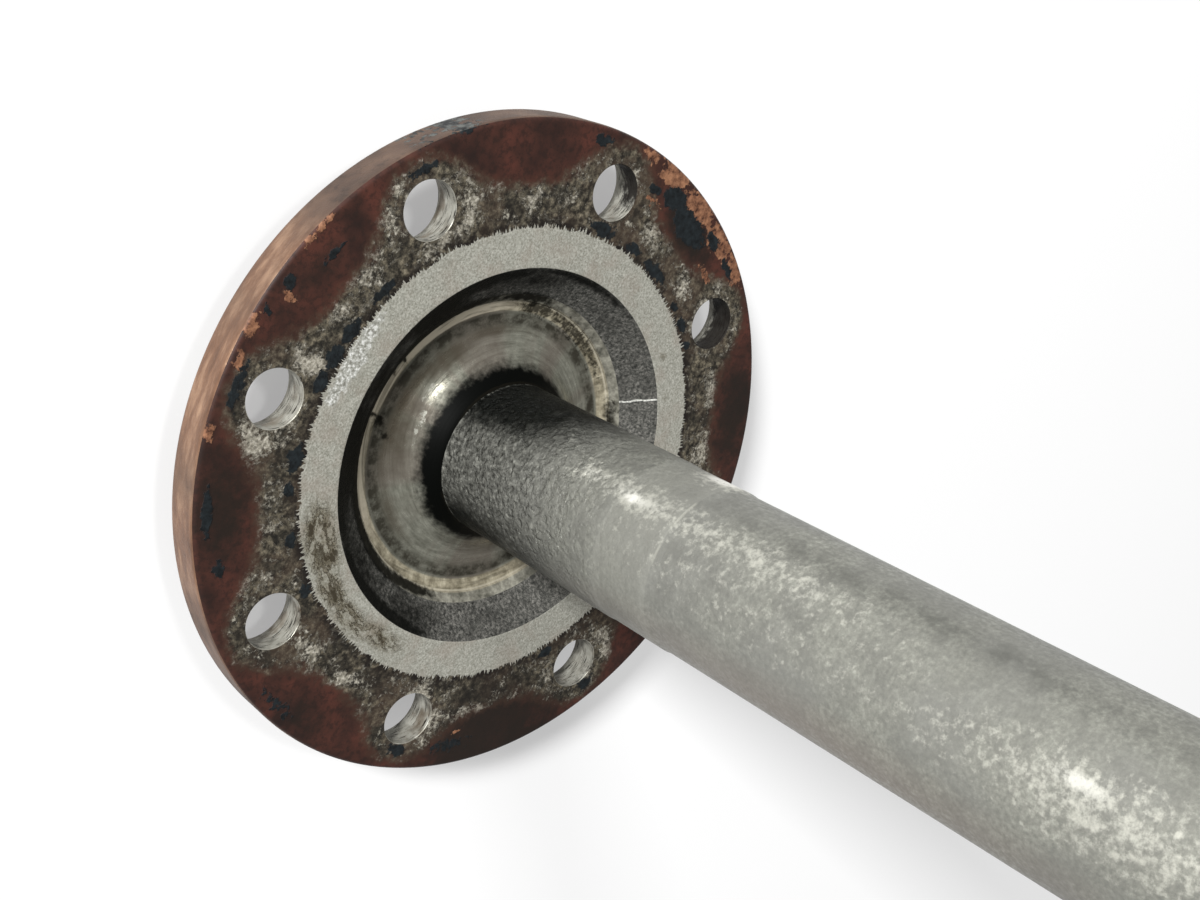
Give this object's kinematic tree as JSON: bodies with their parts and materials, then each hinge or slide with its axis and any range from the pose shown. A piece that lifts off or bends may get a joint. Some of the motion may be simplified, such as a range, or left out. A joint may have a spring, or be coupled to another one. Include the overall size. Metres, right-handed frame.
{
  "type": "axle shaft",
  "caption": "Long round axle shaft forged in one piece with a bolting flange, dished on the hub side, and a splined inner end, to carry drive torque to a wheel hub.",
  "frame": {"origin": "centre of the bolt circle, on the flange's hub face", "axes": "+Z along the shaft, from the flange to the splined end; +X through the centre of one bolt hole"},
  "size_m": [0.168, 0.1678, 0.9355],
  "materials": {
    "forged_steel": "worn forged and turned steel, rusty round the rim"
  },
  "bodies": {
    "root": {"axle_shaft": "forged_steel"}
  },
  "joints": []
}
